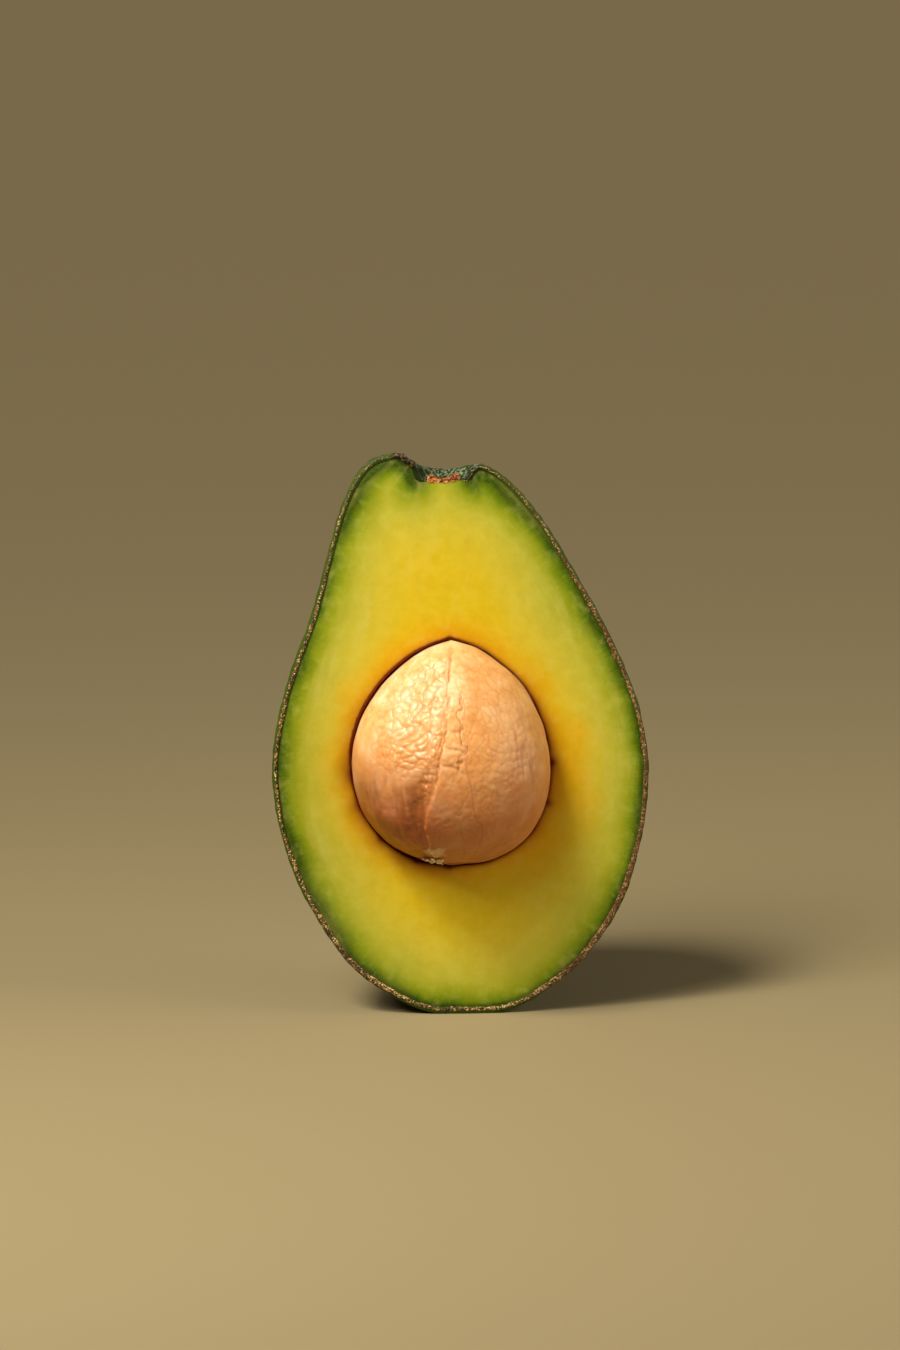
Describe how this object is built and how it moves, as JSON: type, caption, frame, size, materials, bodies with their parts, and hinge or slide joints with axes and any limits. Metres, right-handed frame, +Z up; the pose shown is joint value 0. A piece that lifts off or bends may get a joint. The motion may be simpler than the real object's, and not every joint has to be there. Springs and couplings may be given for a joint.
{
  "type": "avocado half",
  "caption": "Half of a pear-shaped avocado, cut lengthwise and standing on its blossom end, with skin, flesh, stem scar and the whole stone still in its hollow.",
  "frame": {"origin": "on the surface the half stands on, under the middle of its bounding box", "axes": "+Z up from the blossom end to the stem end, -Y out of the cut face, +X to the right as the cut face is looked at"},
  "size_m": [0.0742, 0.0554, 0.1118],
  "materials": {
    "skin": "satin",
    "flesh": "satin",
    "stone": "satin",
    "stem_scar": "matte"
  },
  "bodies": {
    "root": {"skin": "skin", "flesh": "flesh", "stone": "stone", "stem_scar": "stem_scar"}
  },
  "joints": []
}
